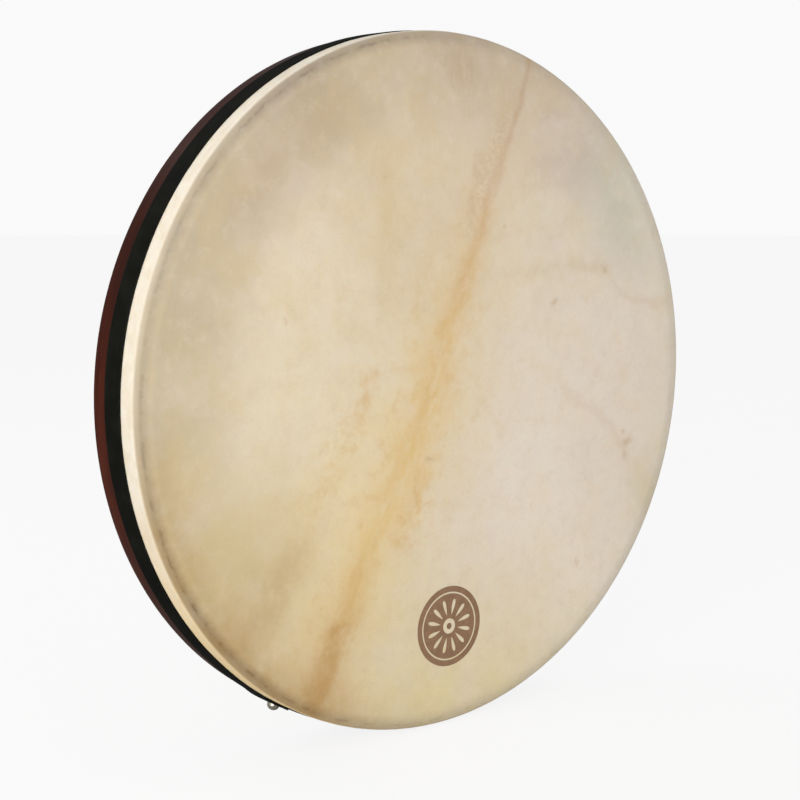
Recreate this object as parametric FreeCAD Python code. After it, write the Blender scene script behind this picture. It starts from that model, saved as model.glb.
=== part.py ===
import FreeCAD, Part
import math
import os
from FreeCAD import Vector

# Frame drum, 22 in x 2.5 in, with an internal tuning ring.  Millimetres.
# The drum stands upright: its axis is Y, the head faces -Y, +Z is up and the
# origin is on the drum's axis, half way through its depth.
# Heights are counted along the axis from the open rear rim toward the head:
# y = DEPTH / 2 - height.  Angles round the drum go from +X (0 deg) to +Z (90 deg).
# Pieces that sit at an angle are built at 0 deg and then turned into place.

ORIGIN = Vector(0, 0, 0)
AXIS = Vector(0, 1, 0)
OVERRUN = 1.0              # how far cutting shapes reach past a face
HOLE_OVERRUN = 5.0         # the same for long through-holes
DOME_STEPS = 8             # straight segments in a dome's profile

# ---- shell
SHELL_R = 279.4            # outer radius of the wood (22 in across)
DEPTH = 63.5               # rear rim to the playing surface (2.5 in)
SHELL_T = 7.5
SHELL_H = 61.0             # rear rim to bearing edge
EDGE_ROUND = 4.5           # outer front edge, over which the skin bends
INNER_EDGE_ROUND = 1.2     # inner front edge
REAR_ROUND = 1.5           # both rear edges
BORE_R = SHELL_R - SHELL_T

# ---- drum head
SKIN_T = 0.7
GLUE = 0.05                # glue line between skin, trim and wood
SKIN_EDGE_H = 30.0         # height of the skin's cut edge, hidden under the trim
SKIN_FLAT_R = 265.0        # radius of the flat playing area
EDGE_CENTRE_R = SHELL_R - EDGE_ROUND      # centre of the bearing edge's round
EDGE_CENTRE_H = SHELL_H - EDGE_ROUND
SKIN_BEND_IN = EDGE_ROUND + GLUE
SKIN_BEND_OUT = SKIN_BEND_IN + SKIN_T

# ---- trim band
TRIM_REAR, TRIM_FRONT = 20.0, 42.5
TRIM_R = 281.2
TRIM_ROUND = 0.45
TRIM_STEP_GAP = 0.2        # from the skin's cut edge to the step inside the band

# ---- tuning ring and its thrust pads
LUGS = 8                   # tuning points, evenly spaced from 0 deg
LUG_DEGS = [360.0 / LUGS * k for k in range(LUGS)]
LUG_R = 263.5              # radius of the bolt axes and of the ring's middle
RING_W, RING_H = 8.0, 12.0
RING_GAP = 0.1             # between the ring and the skin's underside
RING_ROUND = 3.0           # outer front edge, where the skin bends over it
RING_SOFT = 1.2            # the ring's other edges
RING_FRONT = DEPTH - SKIN_T - RING_GAP
RING_REAR = RING_FRONT - RING_H

PAD_R, PAD_T = 3.4, 1.8
PAD_PROUD = 0.6            # how far a pad stands out behind the ring
PAD_CHAMFER = 0.3
PAD_REAR = RING_REAR - PAD_PROUD
PAD_FRONT = PAD_REAR + PAD_T
CUP_R, CUP_DEPTH = 2.1, 0.6               # cup that holds the bolt's point

# ---- tuning bracket
PLATE_W, PLATE_T = 18.0, 3.2
PLATE_REAR, PLATE_FRONT = 9.0, 45.0
PLATE_EXTRA = 2.0          # outward allowance, trimmed to the shell's bore
PLATE_ROUND = 0.9          # rim of the plate's inner face
PLATE_FACE_R = BORE_R - PLATE_T           # flat face toward the drum's axis
BOSS_R, BOSS_REAR, BOSS_FRONT = 6.5, 19.0, 35.0
BOSS_CHAMFER = 0.8
WEB_W = 10.0
WEB_EMBED = 0.5            # how far the web runs into the plate
CAST_FILLET = 1.0          # where the web's sides meet the plate

# ---- bracket screws
SCREW_HEIGHTS = (14.5, 39.5)
SCREW_R, SCREW_HEAD_R = 1.75, 3.3
SCREW_TIP_R = 277.0        # the tip's distance from the drum's axis
SCREW_TIP_L, SCREW_TIP_FLAT = 1.6, 0.25   # length of the point, radius of its end
SCREW_TOP = PLATE_FACE_R + 0.15           # the head is sunk slightly
SCREW_CONE = SCREW_TOP + 0.25             # where the countersunk cone starts
SCREW_NECK = SCREW_CONE + SCREW_HEAD_R - SCREW_R
SCREW_HEAD_CHAMFER = 0.15
SCREW_FIT = 0.05           # radial clearance in the bracket
SCREW_SHELL_FIT = 0.03     # radial clearance in the shell
CROSS_L, CROSS_W, CROSS_CUT = 3.6, 0.9, 1.2
CROSS_LEAD = 0.1           # how far the cross cutter starts outside the head

# ---- tuning bolt (M6 x 1, without its thread)
BOLT_R = 3.0
BOLT_FIT = 0.05            # radial running clearance in the bracket
KEY_REAR, KEY_FRONT = 5.0, 12.2           # square key head
KEY_AF = 5.5               # across flats
KEY_TURNED_R = KEY_AF / 2 * 1.27          # the square's corners are turned to this
KEY_CHAMFER = 0.8
KEY_EMBED = 0.4            # overlap with the flange
FLANGE_R, FLANGE_FRONT = 4.6, 13.8
FLANGE_CHAMFER = 0.35
SHANK_EMBED, SHANK_CHAMFER = 0.5, 0.7
POINT_R, POINT_REAR = 2.0, 49.3
POINT_EMBED, POINT_CHAMFER = 1.0, 0.35
POINT_GAP = 0.05           # between the point and the bottom of the cup

# ---- small through-bolt in the shell, with two washers and a cap nut
STUD_DEG, STUD_HEIGHT = 242.2, 10.0
STUD_R = 2.5
STUD_HOLE_R = STUD_R + 0.1
STUD_CHAMFER = 0.4
STUD_HEAD_R, STUD_HEAD_H = 5.0, 6.8
STUD_HEAD_SIDE = 2.4       # straight side under the dome
STUD_HEAD_CHAMFER = 0.3
STUD_END = BORE_R - 6.4    # the bolt's inner end, from the drum's axis
SLOT_W, SLOT_L, SLOT_DEPTH = 1.3, 12.0, 1.2
SLOT_CUT = 1.6             # radial size of the slot cutter
SLOT_DEG = 35

WASHER_R, WASHER_T = 5.8, 1.0
WASHER_CHAMFER = 0.2
# a flat washer in a round bore rests on its rim
WASHER_SEAT = math.sqrt(BORE_R ** 2 - WASHER_R ** 2)
HEAD_SEAT = SHELL_R + WASHER_T
NUT_SEAT = WASHER_SEAT - WASHER_T

NUT_AF, NUT_H = 8.0, 4.2
NUT_END = NUT_SEAT - NUT_H                # inner end of the hexagon
NUT_TURNED_R = 4.62        # the hexagon's corners are turned to this
NUT_SEAT_R, NUT_END_R = 4.05, 4.0         # radii of the hexagon's chamfered ends
NUT_CHAMFER = 0.5
CAP_R, CAP_H, CAP_SIDE = 3.7, 3.6, 1.2    # the nut's domed cap
CAP_EMBED = 0.6
NUT_BORE_R = STUD_R + 0.02
NUT_END_GAP = 0.3          # between the bolt's end and the bottom of the nut


# ---------------------------------------------------------------- helpers --
def y_at(height):
    return DEPTH / 2 - height


def point(radius, height):
    return Vector(radius, y_at(height), 0)


def line(start, end):
    return Part.LineSegment(start, end).toShape()


def arc(centre_r, centre_h, radius, deg0, deg1):
    """Arc in a profile; 0 deg points outward, 90 deg toward the head."""
    ends = []
    for deg in (deg0, (deg0 + deg1) / 2, deg1):
        turn = math.radians(deg)
        ends.append(point(centre_r + radius * math.cos(turn),
                          centre_h + radius * math.sin(turn)))
    return Part.Arc(*ends).toShape()


def spin_profile(items):
    """Turn a closed profile round the drum's axis.

    The items are arcs and points, joined in turn with straight lines.
    """
    edges = []
    first = last = None
    for item in items:
        if isinstance(item, Vector):
            start = end = item
            edge = None
        else:
            edge = item
            start, end = item.Vertexes[0].Point, item.Vertexes[-1].Point
            if last is not None and (end - last).Length < (start - last).Length:
                start, end = end, start
        if last is not None and (start - last).Length > 1e-7:
            edges.append(line(last, start))
        if edge is not None:
            edges.append(edge)
        if first is None:
            first = start
        last = end
    if (last - first).Length > 1e-7:
        edges.append(line(last, first))
    face = Part.Face(Part.Wire(Part.__sortEdges__(edges)))
    return face.revolve(ORIGIN, AXIS, 360)


def to_angle(shape, deg):
    turned = shape.copy()
    turned.rotate(ORIGIN, AXIS, -deg)
    return turned


def at_lugs(shapes):
    """Copies of the shapes at every tuning point."""
    return [to_angle(shape, deg) for deg in LUG_DEGS for shape in shapes]


def solid(shape):
    """The single solid in a shape, with split faces merged."""
    if shape.ShapeType != "Solid":
        shape = shape.removeSplitter()
    return shape.Solids[0] if len(shape.Solids) == 1 else shape


def lug_rod(radius, rear, front, rear_chamfer=0.0, front_chamfer=0.0):
    """Rod on the bolt axis at 0 deg, between two heights, ends chamfered."""
    length = front - rear
    corners = [Vector(0, 0, 0)]
    for x, y in ((radius - rear_chamfer, 0), (radius, rear_chamfer),
                 (radius, length - front_chamfer), (radius - front_chamfer, length),
                 (0, length)):
        corner = Vector(x, y, 0)
        if (corner - corners[-1]).Length > 1e-9:
            corners.append(corner)
    corners.append(corners[0])
    rod = Part.Face(Part.makePolygon(corners)).revolve(ORIGIN, AXIS, 360)
    # built along +Y, turned so that it grows toward the head (-Y)
    rod.rotate(ORIGIN, Vector(1, 0, 0), 180)
    rod.translate(Vector(LUG_R, y_at(rear), 0))
    return rod


def radial_turning(profile, height):
    """Solid turned about the radial line at 0 deg and the given height.

    The profile lists (distance from the drum's axis, radius of the turning).
    """
    corners = [Vector(x, radius, 0) for x, radius in profile]
    corners.append(corners[0])
    turning = Part.Face(Part.makePolygon(corners)).revolve(ORIGIN, Vector(1, 0, 0), 360)
    turning.translate(Vector(0, y_at(height), 0))
    return turning


def radial_pin(start, end, radius, height):
    return radial_turning([(start, 0), (start, radius), (end, radius), (end, 0)], height)


def dome_profile(base, rise, radius):
    """Profile points from a dome's base to its tip; a negative rise points inward."""
    turns = [math.radians(90 * k / DOME_STEPS) for k in range(DOME_STEPS + 1)]
    return [(base + rise * math.sin(turn), radius * math.cos(turn)) for turn in turns]


# ----------------------------------------------------------------- pieces --
def make_shell():
    body = spin_profile([
        arc(SHELL_R - REAR_ROUND, REAR_ROUND, REAR_ROUND, -90, 0),
        arc(EDGE_CENTRE_R, EDGE_CENTRE_H, EDGE_ROUND, 0, 90),
        arc(BORE_R + INNER_EDGE_ROUND, SHELL_H - INNER_EDGE_ROUND, INNER_EDGE_ROUND, 90, 180),
        arc(BORE_R + REAR_ROUND, REAR_ROUND, REAR_ROUND, 180, 270),
    ])
    holes = at_lugs([screw_body(height, SCREW_SHELL_FIT) for height in SCREW_HEIGHTS])
    stud_hole = radial_pin(BORE_R - HOLE_OVERRUN, SHELL_R + HOLE_OVERRUN,
                           STUD_HOLE_R, STUD_HEIGHT)
    holes.append(to_angle(stud_hole, STUD_DEG))
    return solid(body.cut(holes))


def tangent_deg(height, radius):
    """Angle where a line from the flat area's rim touches a round about the edge centre."""
    across, along = SKIN_FLAT_R - EDGE_CENTRE_R, height - EDGE_CENTRE_H
    distance = math.hypot(across, along)
    return math.degrees(math.atan2(along, across)) - math.degrees(math.acos(radius / distance))


def make_drum_head():
    """Flat skin, a short slope down to the bearing edge and a flap outside the shell."""
    underside = DEPTH - SKIN_T
    outer_deg = tangent_deg(DEPTH, SKIN_BEND_OUT)
    inner_deg = tangent_deg(underside, SKIN_BEND_IN)
    return solid(spin_profile([
        point(0, DEPTH), point(SKIN_FLAT_R, DEPTH),
        arc(EDGE_CENTRE_R, EDGE_CENTRE_H, SKIN_BEND_OUT, outer_deg, 0),
        point(EDGE_CENTRE_R + SKIN_BEND_OUT, SKIN_EDGE_H),
        point(EDGE_CENTRE_R + SKIN_BEND_IN, SKIN_EDGE_H),
        arc(EDGE_CENTRE_R, EDGE_CENTRE_H, SKIN_BEND_IN, 0, inner_deg),
        point(SKIN_FLAT_R, underside), point(0, underside),
    ]))


def make_trim_band():
    """Band round the shell, stepped inside to cover the skin's flap."""
    wood_side = SHELL_R + GLUE
    skin_side = EDGE_CENTRE_R + SKIN_BEND_OUT + GLUE
    step = SKIN_EDGE_H - TRIM_STEP_GAP
    return solid(spin_profile([
        point(wood_side, TRIM_REAR),
        arc(TRIM_R - TRIM_ROUND, TRIM_REAR + TRIM_ROUND, TRIM_ROUND, -90, 0),
        arc(TRIM_R - TRIM_ROUND, TRIM_FRONT - TRIM_ROUND, TRIM_ROUND, 0, 90),
        point(skin_side, TRIM_FRONT), point(skin_side, step), point(wood_side, step),
    ]))


def make_tuning_ring():
    inner, outer = LUG_R - RING_W / 2, LUG_R + RING_W / 2
    ring = spin_profile([
        arc(outer - RING_SOFT, RING_REAR + RING_SOFT, RING_SOFT, -90, 0),
        arc(outer - RING_ROUND, RING_FRONT - RING_ROUND, RING_ROUND, 0, 90),
        arc(inner + RING_SOFT, RING_FRONT - RING_SOFT, RING_SOFT, 90, 180),
        arc(inner + RING_SOFT, RING_REAR + RING_SOFT, RING_SOFT, 180, 270),
    ])
    return solid(ring.cut(at_lugs([lug_rod(PAD_R, RING_REAR - OVERRUN, PAD_FRONT)])))


def make_pad():
    pad = lug_rod(PAD_R, PAD_REAR, PAD_FRONT, rear_chamfer=PAD_CHAMFER)
    return solid(pad.cut(lug_rod(CUP_R, PAD_REAR - OVERRUN, PAD_REAR + CUP_DEPTH)))


def bracket_plate():
    """Plate with half-round ends, its outer face fitted to the shell's bore."""
    half = PLATE_W / 2
    y_rear, y_front = y_at(PLATE_REAR + half), y_at(PLATE_FRONT - half)

    def corner(y, z):
        return Vector(PLATE_FACE_R, y, z)

    outline = Part.Face(Part.Wire(Part.__sortEdges__([
        line(corner(y_rear, -half), corner(y_front, -half)),
        Part.Arc(corner(y_front, -half), corner(y_front - half, 0),
                 corner(y_front, half)).toShape(),
        line(corner(y_front, half), corner(y_rear, half)),
        Part.Arc(corner(y_rear, half), corner(y_rear + half, 0),
                 corner(y_rear, -half)).toShape(),
    ])))
    plate = outline.extrude(Vector(PLATE_T + PLATE_EXTRA, 0, 0))
    rim = [edge for edge in plate.Edges if edge.BoundBox.XMax < PLATE_FACE_R + 0.01]
    plate = plate.makeFillet(PLATE_ROUND, rim)
    return plate.common(Part.makeCylinder(BORE_R, DEPTH * 2, Vector(0, -DEPTH, 0), AXIS))


def is_web_corner(edge):
    """True for the two long edges where the web's sides stand on the plate."""
    box = edge.BoundBox
    on_face = abs(box.XMin - PLATE_FACE_R) < 0.02 and abs(box.XMax - PLATE_FACE_R) < 0.02
    return on_face and box.ZLength < 0.02 and edge.Length > 10


def make_bracket():
    boss = lug_rod(BOSS_R, BOSS_REAR, BOSS_FRONT, BOSS_CHAMFER, BOSS_CHAMFER)
    web = Part.makeBox(PLATE_FACE_R + WEB_EMBED - LUG_R,
                       BOSS_FRONT - BOSS_REAR - 2 * BOSS_CHAMFER, WEB_W,
                       Vector(LUG_R, y_at(BOSS_FRONT - BOSS_CHAMFER), -WEB_W / 2))
    bracket = bracket_plate().fuse([boss, web]).removeSplitter()
    bracket = bracket.makeFillet(CAST_FILLET, [e for e in bracket.Edges if is_web_corner(e)])
    bracket = bracket.cut(lug_rod(BOLT_R + BOLT_FIT, BOSS_REAR - HOLE_OVERRUN,
                                  BOSS_FRONT + HOLE_OVERRUN))
    head_r, hole_r = SCREW_HEAD_R + SCREW_FIT, SCREW_R + SCREW_FIT
    for height in SCREW_HEIGHTS:
        bracket = bracket.cut(radial_turning([
            (PLATE_FACE_R - OVERRUN, 0), (PLATE_FACE_R - OVERRUN, head_r),
            (SCREW_CONE, head_r), (SCREW_NECK, hole_r),
            (BORE_R + OVERRUN, hole_r), (BORE_R + OVERRUN, 0)], height))
    return solid(bracket)


def screw_body(height, extra=0.0):
    """Countersunk screw pointing outward; extra is added to its radii."""
    return radial_turning([
        (SCREW_TOP, 0), (SCREW_TOP, SCREW_HEAD_R - SCREW_HEAD_CHAMFER + extra),
        (SCREW_CONE, SCREW_HEAD_R + extra), (SCREW_NECK, SCREW_R + extra),
        (SCREW_TIP_R - SCREW_TIP_L, SCREW_R + extra),
        (SCREW_TIP_R, SCREW_TIP_FLAT + extra), (SCREW_TIP_R, 0)], height)


def make_screw(height):
    """Screw with a cross recess in its head."""
    screw = screw_body(height)
    for y_size, z_size in ((CROSS_L, CROSS_W), (CROSS_W, CROSS_L)):
        corner = Vector(SCREW_TOP - CROSS_LEAD, y_at(height) - y_size / 2, -z_size / 2)
        screw = screw.cut(Part.makeBox(CROSS_CUT, y_size, z_size, corner))
    return solid(screw)


def make_bolt():
    shank = lug_rod(BOLT_R, FLANGE_FRONT - SHANK_EMBED, POINT_REAR,
                    front_chamfer=SHANK_CHAMFER)
    tip = lug_rod(POINT_R, POINT_REAR - POINT_EMBED, PAD_REAR + CUP_DEPTH - POINT_GAP,
                  front_chamfer=POINT_CHAMFER)
    flange = lug_rod(FLANGE_R, KEY_FRONT, FLANGE_FRONT, FLANGE_CHAMFER, FLANGE_CHAMFER)
    key = Part.makeBox(KEY_AF, KEY_FRONT - KEY_REAR + KEY_EMBED, KEY_AF,
                       Vector(LUG_R - KEY_AF / 2, y_at(KEY_FRONT + KEY_EMBED), -KEY_AF / 2))
    # the square is turned down at its corners and at its free end
    key = key.common(lug_rod(KEY_TURNED_R, KEY_REAR, KEY_FRONT + OVERRUN,
                             rear_chamfer=KEY_CHAMFER))
    return solid(shank.fuse([tip, flange, key]))


def make_stud():
    """Through-bolt with a slotted, domed head outside the shell."""
    stud = radial_turning([
        (STUD_END, 0), (STUD_END, STUD_R - STUD_CHAMFER), (STUD_END + STUD_CHAMFER, STUD_R),
        (HEAD_SEAT, STUD_R), (HEAD_SEAT, STUD_HEAD_R - STUD_HEAD_CHAMFER),
        (HEAD_SEAT + STUD_HEAD_CHAMFER, STUD_HEAD_R),
    ] + dome_profile(HEAD_SEAT + STUD_HEAD_SIDE, STUD_HEAD_H - STUD_HEAD_SIDE, STUD_HEAD_R),
        STUD_HEIGHT)
    y = y_at(STUD_HEIGHT)
    slot = Part.makeBox(SLOT_CUT, SLOT_W, SLOT_L,
                        Vector(HEAD_SEAT + STUD_HEAD_H - SLOT_DEPTH, y - SLOT_W / 2, -SLOT_L / 2))
    slot.rotate(Vector(SHELL_R, y, 0), Vector(1, 0, 0), SLOT_DEG)
    return solid(stud.cut(slot))


def make_washer(inner_face):
    outer_face = inner_face + WASHER_T
    return solid(radial_turning([
        (inner_face, STUD_HOLE_R), (inner_face, WASHER_R - WASHER_CHAMFER),
        (inner_face + WASHER_CHAMFER, WASHER_R), (outer_face - WASHER_CHAMFER, WASHER_R),
        (outer_face, WASHER_R - WASHER_CHAMFER), (outer_face, STUD_HOLE_R)], STUD_HEIGHT))


def make_nut():
    """Hexagon nut with a domed cap toward the drum's axis."""
    corner_r = NUT_AF / math.sqrt(3)
    corners = []
    for k in range(7):
        turn = math.radians(60 * k)
        corners.append(Vector(NUT_SEAT, y_at(STUD_HEIGHT) + corner_r * math.cos(turn),
                              corner_r * math.sin(turn)))
    nut = Part.Face(Part.makePolygon(corners)).extrude(Vector(-NUT_H, 0, 0))
    nut = nut.common(radial_turning([
        (NUT_SEAT, 0), (NUT_SEAT, NUT_SEAT_R), (NUT_SEAT - NUT_CHAMFER, NUT_TURNED_R),
        (NUT_END + NUT_CHAMFER, NUT_TURNED_R), (NUT_END, NUT_END_R), (NUT_END, 0)],
        STUD_HEIGHT))
    cap = [(NUT_END + CAP_EMBED, 0), (NUT_END + CAP_EMBED, CAP_R)]
    cap += dome_profile(NUT_END - CAP_SIDE, CAP_SIDE - CAP_H, CAP_R)
    nut = nut.fuse(radial_turning(cap, STUD_HEIGHT))
    return solid(nut.cut(radial_turning([
        (NUT_SEAT + OVERRUN, 0), (NUT_SEAT + OVERRUN, NUT_BORE_R),
        (STUD_END - NUT_END_GAP, NUT_BORE_R), (STUD_END - NUT_END_GAP, 0)], STUD_HEIGHT)))


# ----------------------------------------------------------------- export --
washers = [make_washer(SHELL_R), make_washer(NUT_SEAT)]
parts = {
    "shell": make_shell(),
    "drum_head": make_drum_head(),
    "trim_band": make_trim_band(),
    "tuning_ring": make_tuning_ring(),
    "thrust_pads": Part.makeCompound(at_lugs([make_pad()])),
    "bracket_screws": Part.makeCompound(at_lugs([make_screw(h) for h in SCREW_HEIGHTS])),
    "shell_bolt": to_angle(make_stud(), STUD_DEG),
    "shell_bolt_washers": Part.makeCompound([to_angle(w, STUD_DEG) for w in washers]),
    "shell_bolt_nut": to_angle(make_nut(), STUD_DEG),
}
for name, piece in (("tuning_bracket", make_bracket()), ("tuning_bolt", make_bolt())):
    for number, placed in enumerate(at_lugs([piece]), 1):
        parts["%s_%d" % (name, number)] = placed

os.makedirs("parts", exist_ok=True)
for name, shape in parts.items():
    shape.exportStep("parts/%s.step" % name)
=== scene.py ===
import math

import bmesh
import bpy
from mathutils import Matrix, Vector, noise


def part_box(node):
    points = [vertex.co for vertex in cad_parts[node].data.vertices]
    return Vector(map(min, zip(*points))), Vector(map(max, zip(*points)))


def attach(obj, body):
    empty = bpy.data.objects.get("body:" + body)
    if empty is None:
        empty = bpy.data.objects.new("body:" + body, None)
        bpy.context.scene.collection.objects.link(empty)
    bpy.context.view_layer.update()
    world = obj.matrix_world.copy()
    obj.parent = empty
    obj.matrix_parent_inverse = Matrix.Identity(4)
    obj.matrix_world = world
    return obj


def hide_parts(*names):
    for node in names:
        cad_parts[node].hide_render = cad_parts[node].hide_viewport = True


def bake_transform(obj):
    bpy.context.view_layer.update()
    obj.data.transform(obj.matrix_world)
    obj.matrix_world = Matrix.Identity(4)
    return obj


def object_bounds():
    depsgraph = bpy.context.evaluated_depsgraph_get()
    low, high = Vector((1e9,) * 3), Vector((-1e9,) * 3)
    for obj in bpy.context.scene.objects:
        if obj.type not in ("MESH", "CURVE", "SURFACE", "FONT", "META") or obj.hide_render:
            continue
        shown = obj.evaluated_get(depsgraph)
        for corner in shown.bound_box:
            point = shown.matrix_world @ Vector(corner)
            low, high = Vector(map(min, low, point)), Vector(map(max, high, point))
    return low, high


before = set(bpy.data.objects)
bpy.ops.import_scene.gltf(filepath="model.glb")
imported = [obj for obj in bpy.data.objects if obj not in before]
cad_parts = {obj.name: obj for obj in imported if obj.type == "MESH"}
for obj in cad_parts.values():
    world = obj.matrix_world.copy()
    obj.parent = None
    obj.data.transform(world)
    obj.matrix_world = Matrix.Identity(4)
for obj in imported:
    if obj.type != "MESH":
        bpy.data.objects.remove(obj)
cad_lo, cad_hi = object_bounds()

MM = 0.001
TAU = 2 * math.pi

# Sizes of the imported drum, in millimetres, read back from its nodes.
shell_lo, shell_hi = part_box("shell")
head_lo, head_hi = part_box("drum_head")
band_lo, band_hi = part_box("trim_band")
ring_lo, ring_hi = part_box("tuning_ring")
HALF = shell_hi.y / MM                    # rear rim plane
R_SHELL = shell_hi.z / MM
R_BAND = band_hi.z / MM
R_SKIN = head_hi.z / MM
BAND_A0 = HALF - band_hi.y / MM           # heights from the rear rim
BAND_A1 = HALF - band_lo.y / MM
SKIN_A1 = HALF - head_lo.y / MM
SKIN_A0 = HALF - head_hi.y / MM
SHELL_A1 = HALF - shell_lo.y / MM
RING_A0 = HALF - ring_hi.y / MM
RING_A1 = HALF - ring_lo.y / MM
R_RING = ring_hi.z / MM
EDGE_R, SKIN_T = 4.5, 0.7
R_IN = R_SHELL - 7.5
SKIN_FLAT_R = 265.0
R_LUG = R_RING - 4.0
LUGS = 8


# ------------------------------------------------------------- node helper --
class Graph:
    """Small helper that writes shader nodes as expressions."""

    def __init__(self, name):
        self.mat = bpy.data.materials.new(name)
        self.mat.use_nodes = True
        self.t = self.mat.node_tree
        self.t.nodes.clear()
        self.out = self.t.nodes.new("ShaderNodeOutputMaterial")

    def node(self, kind, **props):
        n = self.t.nodes.new(kind)
        for k, v in props.items():
            setattr(n, k, v)
        return n

    def put(self, socket, value):
        if isinstance(value, bpy.types.NodeSocket):
            self.t.links.new(value, socket)
        elif value is not None:
            if socket.type == "RGBA" and len(value) == 3:
                value = (*value, 1.0)
            socket.default_value = value

    def math(self, op, a, b=None, c=None, clamp=False):
        n = self.node("ShaderNodeMath", operation=op, use_clamp=clamp)
        for s, v in zip(n.inputs, (a, b, c)):
            self.put(s, v)
        return n.outputs[0]

    def add(self, a, b): return self.math("ADD", a, b)
    def sub(self, a, b): return self.math("SUBTRACT", a, b)
    def mul(self, a, b): return self.math("MULTIPLY", a, b)
    def div(self, a, b): return self.math("DIVIDE", a, b)
    def sat(self, a): return self.math("ADD", a, 0.0, clamp=True)

    def vec(self, op, a, b=None, scale=None):
        n = self.node("ShaderNodeVectorMath", operation=op)
        self.put(n.inputs[0], a)
        if b is not None:
            self.put(n.inputs[1], b)
        if scale is not None:
            self.put(n.inputs["Scale"], scale)
        return n.outputs["Value"] if op in ("LENGTH", "DOT_PRODUCT", "DISTANCE") else n.outputs["Vector"]

    def comb(self, x, y, z):
        n = self.node("ShaderNodeCombineXYZ")
        for s, v in zip(n.inputs, (x, y, z)):
            self.put(s, v)
        return n.outputs[0]

    def sep(self, v):
        n = self.node("ShaderNodeSeparateXYZ")
        self.put(n.inputs[0], v)
        return n.outputs[0], n.outputs[1], n.outputs[2]

    def coords(self):
        """Object coordinates in millimetres."""
        n = self.node("ShaderNodeTexCoord")
        return self.vec("SCALE", n.outputs["Object"], scale=1000.0)

    def noise(self, v, size, detail=3.0, rough=0.5, dist=0.0, w=None, color=False):
        n = self.node("ShaderNodeTexNoise", noise_dimensions="4D" if w is not None else "3D")
        self.put(n.inputs["Vector"], v)
        if w is not None:
            self.put(n.inputs["W"], w)
        self.put(n.inputs["Scale"], 1.0 / size)
        self.put(n.inputs["Detail"], detail)
        self.put(n.inputs["Roughness"], rough)
        self.put(n.inputs["Distortion"], dist)
        return n.outputs[1] if color else n.outputs[0]

    def voronoi(self, v, size, feature="F1", rand=1.0, out=0):
        n = self.node("ShaderNodeTexVoronoi", feature=feature)
        self.put(n.inputs["Vector"], v)
        self.put(n.inputs["Scale"], 1.0 / size)
        if "Randomness" in n.inputs:
            self.put(n.inputs["Randomness"], rand)
        return n.outputs[out]

    def step(self, v, lo, hi):
        """0 below lo, 1 above hi, smooth between; lo may be above hi."""
        n = self.node("ShaderNodeMapRange", interpolation_type="SMOOTHSTEP")
        n.clamp = True
        self.put(n.inputs["Value"], v)
        if lo < hi:
            vals = (lo, hi, 0.0, 1.0)
        else:
            vals = (hi, lo, 1.0, 0.0)
        for s, x in zip(n.inputs[1:5], vals):
            s.default_value = x
        return n.outputs[0]

    def remap(self, v, a, b, c, d):
        n = self.node("ShaderNodeMapRange")
        n.clamp = True
        self.put(n.inputs["Value"], v)
        for s, x in zip(n.inputs[1:5], (a, b, c, d)):
            s.default_value = x
        return n.outputs[0]

    def curve(self, v, points, lo, hi, ylo, yhi):
        """A smooth curve through (x, y) points; x in lo..hi, y in ylo..yhi."""
        n = self.node("ShaderNodeFloatCurve")
        c = n.mapping.curves[0]
        pts = sorted(((x - lo) / (hi - lo), (y - ylo) / (yhi - ylo)) for x, y in points)
        c.points[0].location = pts[0]
        c.points[1].location = pts[-1]
        for p in pts[1:-1]:
            c.points.new(*p)
        n.mapping.extend = "HORIZONTAL"
        n.mapping.update()
        self.put(n.inputs["Value"], self.remap(v, lo, hi, 0.0, 1.0))
        return self.math("MULTIPLY_ADD", n.outputs[0], yhi - ylo, ylo)

    def ramp(self, v, stops, mode="LINEAR"):
        n = self.node("ShaderNodeValToRGB")
        n.color_ramp.interpolation = mode
        e = n.color_ramp.elements
        while len(e) < len(stops):
            e.new(0.5)
        for el, (p, c) in zip(e, stops):
            el.position = p
            el.color = (*c, 1.0)
        self.put(n.inputs[0], v)
        return n.outputs[0]

    def mix(self, f, a, b, mode="MIX"):
        n = self.node("ShaderNodeMix", data_type="RGBA", blend_type=mode)
        n.clamp_factor = True
        self.put(n.inputs[0], f)
        self.put(n.inputs[6], a)
        self.put(n.inputs[7], b)
        return n.outputs[2]

    def lerp(self, f, a, b):
        n = self.node("ShaderNodeMix", data_type="FLOAT")
        self.put(n.inputs[0], f)
        self.put(n.inputs[2], a)
        self.put(n.inputs[3], b)
        return n.outputs[0]

    def bump(self, height, strength=1.0, distance=0.001, normal=None):
        n = self.node("ShaderNodeBump")
        self.put(n.inputs["Strength"], strength)
        self.put(n.inputs["Distance"], distance)
        self.put(n.inputs["Height"], height)
        if normal is not None:
            self.put(n.inputs["Normal"], normal)
        return n.outputs[0]

    def principled(self, **kw):
        n = self.node("ShaderNodeBsdfPrincipled")
        for k, v in kw.items():
            self.put(n.inputs[k.replace("_", " ")], v)
        self.bsdf = n
        return n.outputs[0]

    def finish(self, shader):
        self.put(self.out.inputs[0], shader)
        return self.mat


def srgb(r, g, b):
    """8-bit display colour to linear."""
    return tuple((c / 255 / 12.92) if c / 255 <= 0.04045 else ((c / 255 + 0.055) / 1.055) ** 2.4 for c in (r, g, b))


# ------------------------------------------------------------- mesh helper --
def Y(a):
    return (HALF - a) * MM


def finish_mesh(name, verts, faces, smooth=True, recalc=True):
    me = bpy.data.meshes.new(name)
    me.from_pydata(verts, [], faces)
    me.validate()
    if recalc:
        bm = bmesh.new()
        bm.from_mesh(me)
        bmesh.ops.recalc_face_normals(bm, faces=bm.faces)
        bm.to_mesh(me)
        bm.free()
    if smooth:
        me.shade_smooth()
    ob = bpy.data.objects.new(name, me)
    bpy.context.scene.collection.objects.link(ob)
    return ob


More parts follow.
